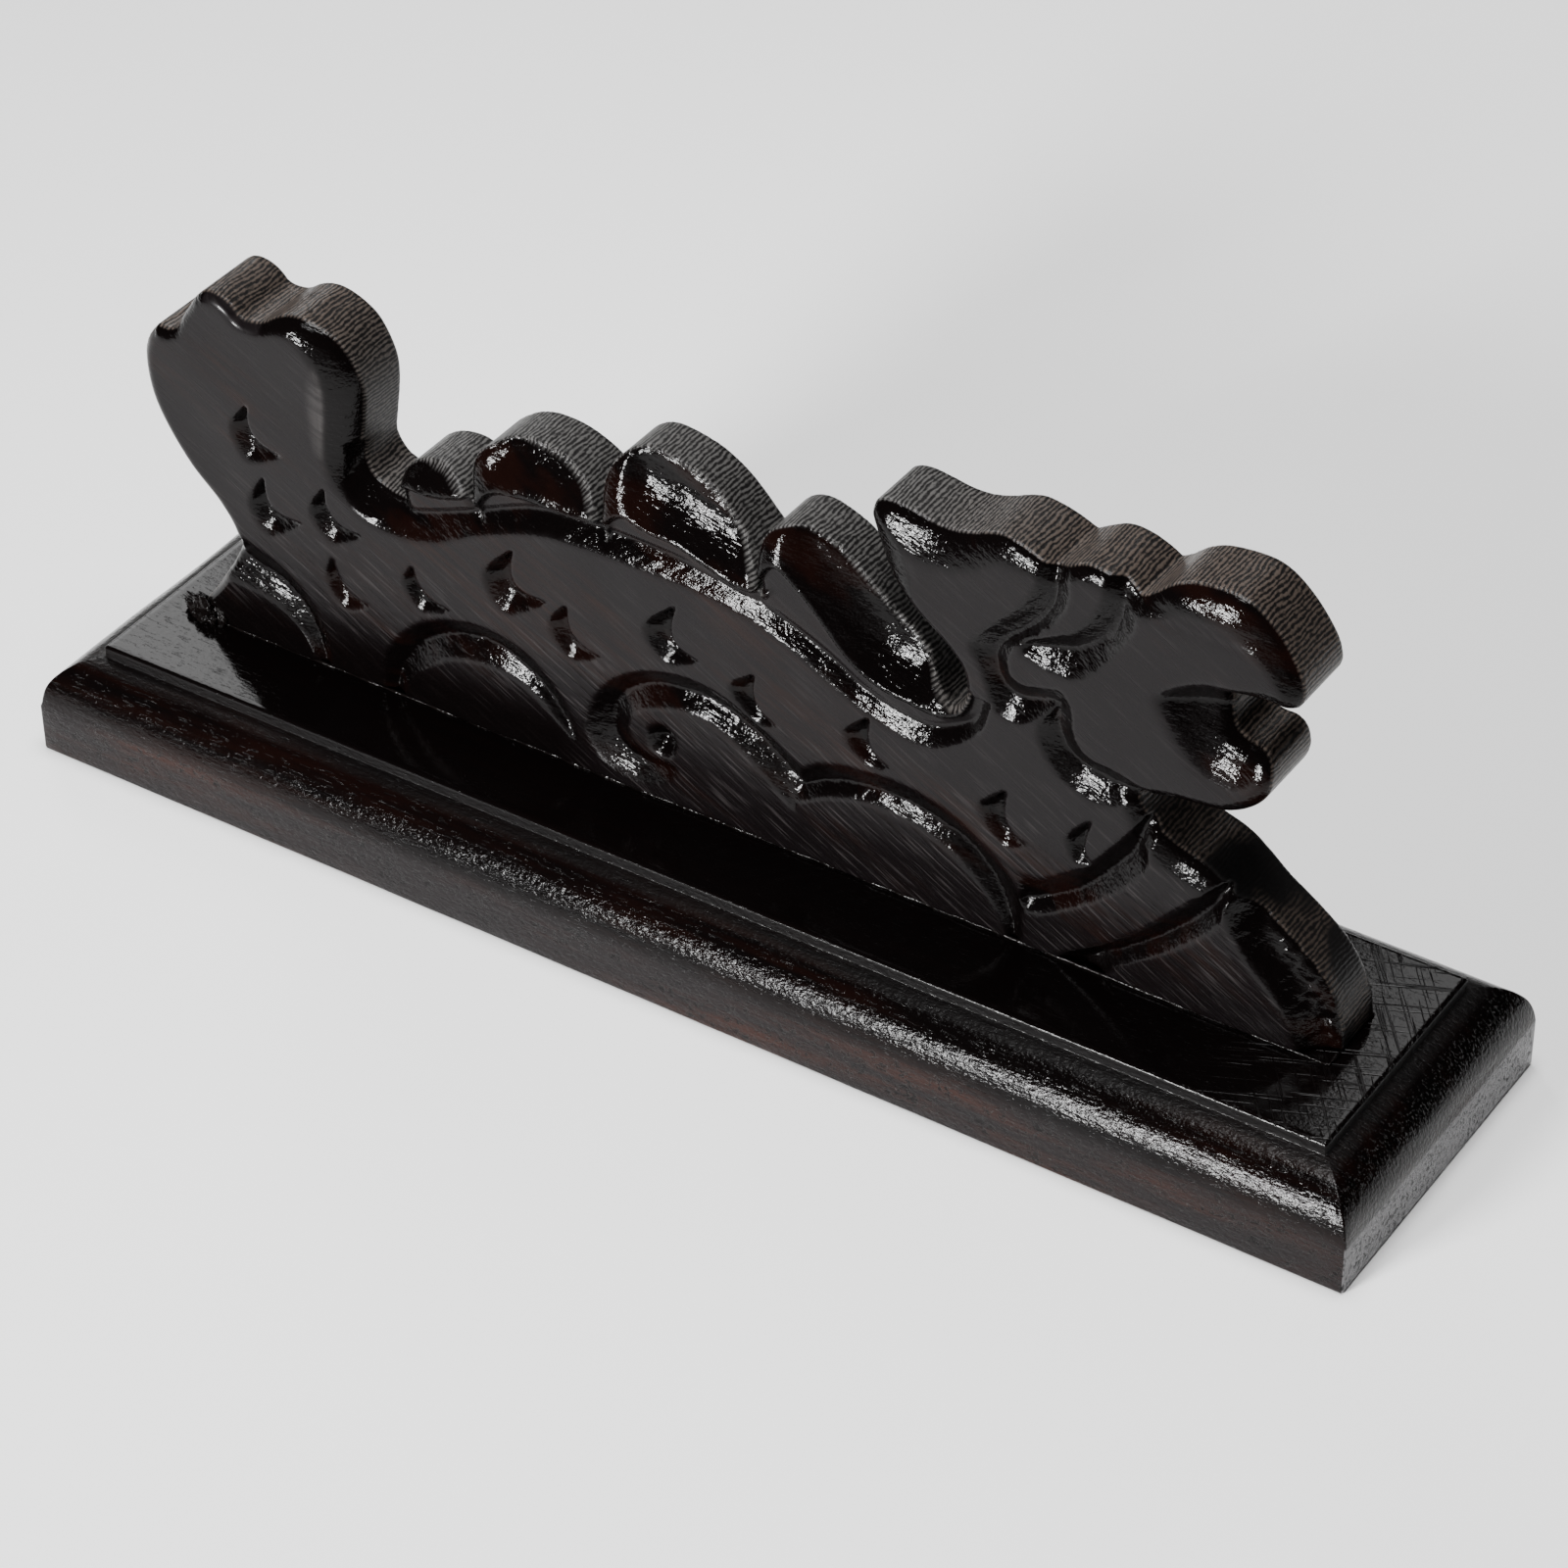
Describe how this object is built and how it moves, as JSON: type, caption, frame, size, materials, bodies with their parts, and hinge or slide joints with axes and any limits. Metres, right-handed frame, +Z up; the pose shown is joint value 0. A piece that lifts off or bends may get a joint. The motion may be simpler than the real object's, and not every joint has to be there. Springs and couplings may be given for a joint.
{
  "type": "brush rest",
  "caption": "Carved board in the outline of a crouching dragon, standing on edge on a moulded base; brushes lie across its fins.",
  "frame": {"origin": "centre of the underside of the base board", "axes": "+X along the base towards the dragon's head, +Z up, -Y is the front"},
  "size_m": [0.2, 0.05, 0.0781],
  "materials": {
    "base_wood": "black-stained hardwood under glossy lacquer",
    "carved_wood": "black-stained carved hardwood under glossy lacquer, saw marks on the edges",
    "screw_steel": "zinc-plated steel"
  },
  "bodies": {
    "root": {"base_board": "base_wood", "dragon_carving": "carved_wood", "tail_screw": "screw_steel", "head_screw": "screw_steel"}
  },
  "joints": []
}
